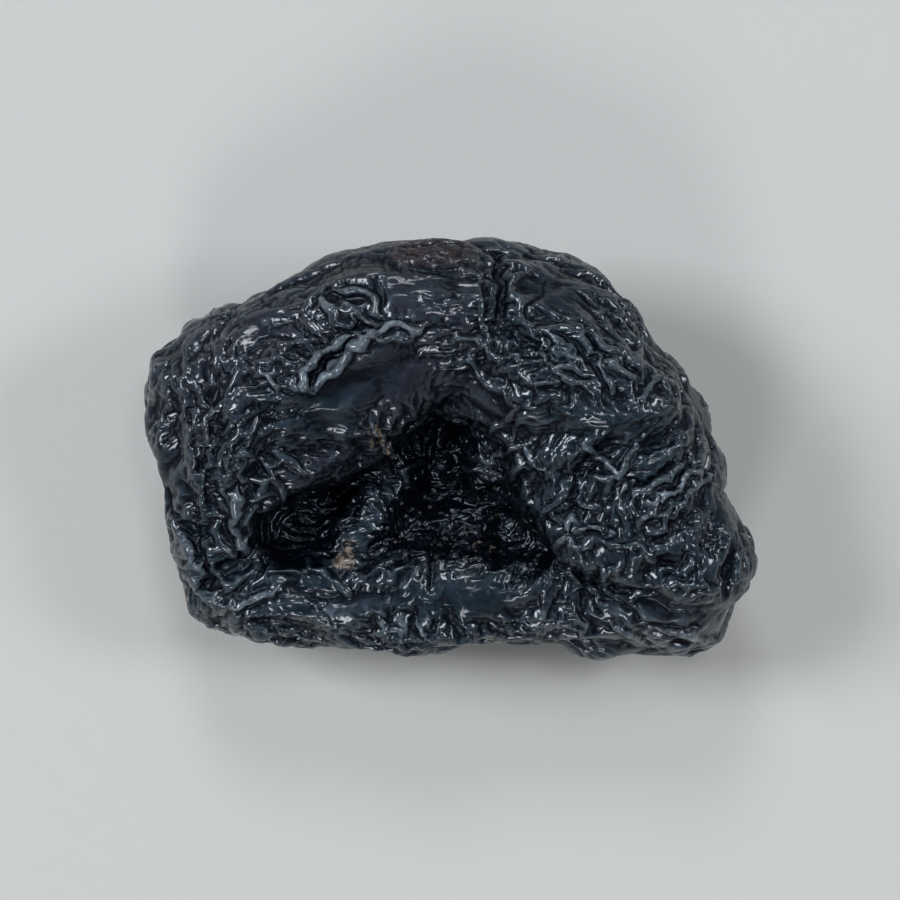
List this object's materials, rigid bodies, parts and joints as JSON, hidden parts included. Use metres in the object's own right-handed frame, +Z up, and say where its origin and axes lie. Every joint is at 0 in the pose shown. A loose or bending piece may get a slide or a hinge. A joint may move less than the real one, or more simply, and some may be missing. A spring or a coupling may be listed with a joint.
{
  "type": "prune",
  "caption": "Pitted prune: a plump, wrinkled dried plum lying flat, with thick folded rolls round the sunken hollow that its stone left.",
  "frame": {"origin": "middle of the underside, on the flat spot that the fruit rests on", "axes": "+X along the fruit's length, +Y across it towards the tall crown, +Z up, out of the hollow's mouth"},
  "size_m": [0.0434, 0.03, 0.0195],
  "materials": {
    "skin": "satin"
  },
  "bodies": {
    "root": {"prune": "skin"}
  },
  "joints": []
}
